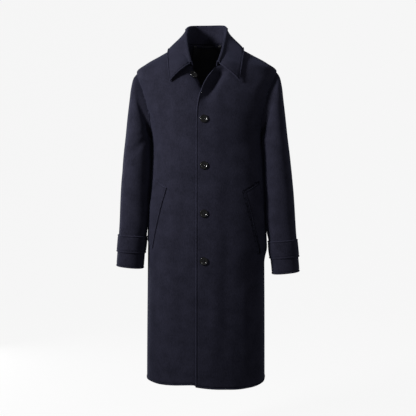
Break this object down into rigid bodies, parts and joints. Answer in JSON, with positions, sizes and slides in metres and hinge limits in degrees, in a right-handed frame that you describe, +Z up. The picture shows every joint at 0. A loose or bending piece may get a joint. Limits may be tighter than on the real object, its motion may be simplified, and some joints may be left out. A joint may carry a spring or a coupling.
{
  "type": "wool overcoat",
  "caption": "Long single-breasted overcoat in dark navy felted wool, filled out with no wearer, with a turned-down pointed collar, slanted welt pockets and cuff straps.",
  "frame": {"origin": "inside the neck at the level of the neck seam, where a neck and shoulders carry the coat", "axes": "+Z up along the coat's length, -Y out of the front, +X towards the wearer's left sleeve"},
  "size_m": [0.583, 0.3126, 1.1642],
  "materials": {
    "wool": "dark navy felted wool with a short brushed nap, soft sheen",
    "lining": "dark smooth lining",
    "button": "polished dark horn-like resin"
  },
  "bodies": {
    "root": {"back": "wool", "front_left": "wool", "front_right": "wool", "sleeve_left": "wool", "sleeve_right": "wool", "collar_stand": "wool", "collar_leaf": "wool", "cuff_strap_left": "wool", "cuff_strap_right": "wool", "pocket_welt_left": "wool", "pocket_welt_right": "wool", "neck_lining": "lining", "hanging_loop": "wool", "button_1": "button", "button_2": "button", "button_3": "button", "button_4": "button", "button_5": "button"}
  },
  "joints": []
}
